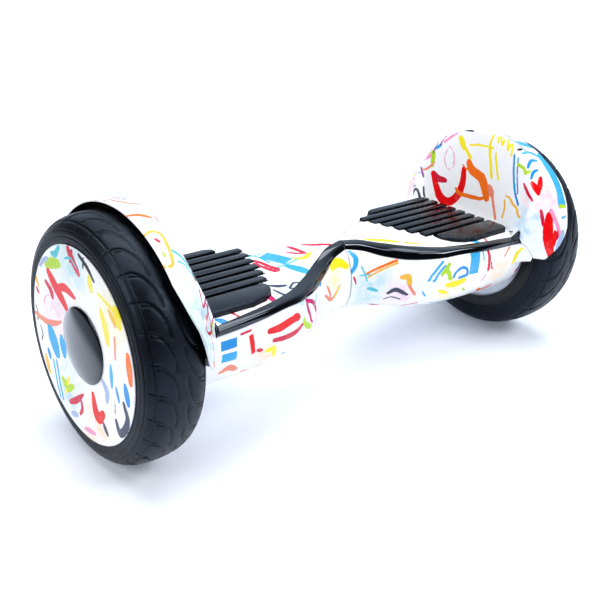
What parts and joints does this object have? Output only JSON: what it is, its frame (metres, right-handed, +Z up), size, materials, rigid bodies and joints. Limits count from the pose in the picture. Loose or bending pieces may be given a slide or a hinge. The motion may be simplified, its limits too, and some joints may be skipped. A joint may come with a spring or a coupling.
{
  "type": "self balancing hoverboard",
  "caption": "Two-wheeled self balancing scooter: a waisted board in two twisting halves, ribbed foot pads, fenders over wide tyres and an abstract brush-stroke print.",
  "frame": {"origin": "on the ground under the middle of the board, midway between the two wheels", "axes": "+X along the board from the left wheel to the right wheel, -Y the front edge, +Z up"},
  "size_m": [0.6536, 0.2612, 0.2622],
  "materials": {
    "shell": "glossy white with a printed pattern of bright brush strokes",
    "gloss_black": "polished black",
    "pad_rubber": "satin",
    "tyre": "matte",
    "soft_rubber": "matte",
    "black_plastic": "fine texture",
    "cast_aluminium": "die cast",
    "silver_aluminium": "silver paint",
    "steel": "machined",
    "stator": "enamelled windings",
    "circuit_board": "solder mask",
    "battery_wrap": "shrink wrap",
    "bronze": "sintered"
  },
  "bodies": {
    "left_half": {"left_upper_shell": "shell", "left_lower_shell": "shell", "left_front_trim": "gloss_black", "left_rear_trim": "gloss_black", "left_arch_liner": "black_plastic", "left_frame": "cast_aluminium", "left_axle_clamp": "cast_aluminium", "left_wheel_axle": "steel", "left_stator": "stator", "left_gyro_board": "circuit_board", "left_lamp_board": "circuit_board", "left_pad_gasket": "soft_rubber", "pivot_tube": "steel", "stop_pin": "steel", "retaining_ring": "steel", "centre_harness": "black_plastic", "main_board": "circuit_board"},
    "right_half": {"right_upper_shell": "shell", "right_lower_shell": "shell", "right_front_trim": "gloss_black", "right_rear_trim": "gloss_black", "right_arch_liner": "black_plastic", "right_frame": "cast_aluminium", "right_axle_clamp": "cast_aluminium", "right_wheel_axle": "steel", "right_stator": "stator", "right_gyro_board": "circuit_board", "right_lamp_board": "circuit_board", "right_pad_gasket": "soft_rubber", "inner_pivot_bush": "bronze", "outer_pivot_bush": "bronze", "battery_pack": "battery_wrap", "battery_bracket": "steel", "charge_socket": "black_plastic", "power_button_bezel": "gloss_black"},
    "left_wheel": {"left_tyre": "tyre", "left_rim": "silver_aluminium", "left_motor_cover": "silver_aluminium", "left_magnet_ring": "steel", "left_outer_bearing": "steel", "left_inner_bearing": "steel", "left_hub_cover": "shell", "left_centre_cap": "gloss_black"},
    "right_wheel": {"right_tyre": "tyre", "right_rim": "silver_aluminium", "right_motor_cover": "silver_aluminium", "right_magnet_ring": "steel", "right_outer_bearing": "steel", "right_inner_bearing": "steel", "right_hub_cover": "shell", "right_centre_cap": "gloss_black"},
    "left_pad": {"left_foot_pad": "pad_rubber", "left_pedal_plate": "black_plastic"},
    "right_pad": {"right_foot_pad": "pad_rubber", "right_pedal_plate": "black_plastic"},
    "power_button": {"power_button": "steel"},
    "charge_cap": {"charge_port_cap": "soft_rubber"}
  },
  "joints": [
    {"name": "half_twist", "type": "hinge", "parent": "left_half", "child": "right_half", "pos_m": [0, 0, 0.127], "axis": [1, 0, 0], "range_deg": [-12, 12]},
    {"name": "left_wheel_spin", "type": "hinge", "parent": "left_half", "child": "left_wheel", "pos_m": [-0.2865, 0, 0.127], "axis": [1, 0, 0], "continuous": true},
    {"name": "right_wheel_spin", "type": "hinge", "parent": "right_half", "child": "right_wheel", "pos_m": [0.2865, 0, 0.127], "axis": [1, 0, 0], "continuous": true},
    {"name": "left_pad_press", "type": "slide", "parent": "left_half", "child": "left_pad", "axis": [0, 0, -1], "range_m": [0, 0.0015], "stiffness_N_per_m": 40000},
    {"name": "right_pad_press", "type": "slide", "parent": "right_half", "child": "right_pad", "axis": [0, 0, -1], "range_m": [0, 0.0015], "stiffness_N_per_m": 40000},
    {"name": "power_button_press", "type": "slide", "parent": "right_half", "child": "power_button", "axis": [0, -1, 0], "range_m": [0, 0.001], "stiffness_N_per_m": 1500},
    {"name": "charge_cap_swing", "type": "hinge", "parent": "right_half", "child": "charge_cap", "pos_m": [0.15, 0.0906, 0.122], "axis": [1, 0, 0], "range_deg": [0, 100]}
  ]
}
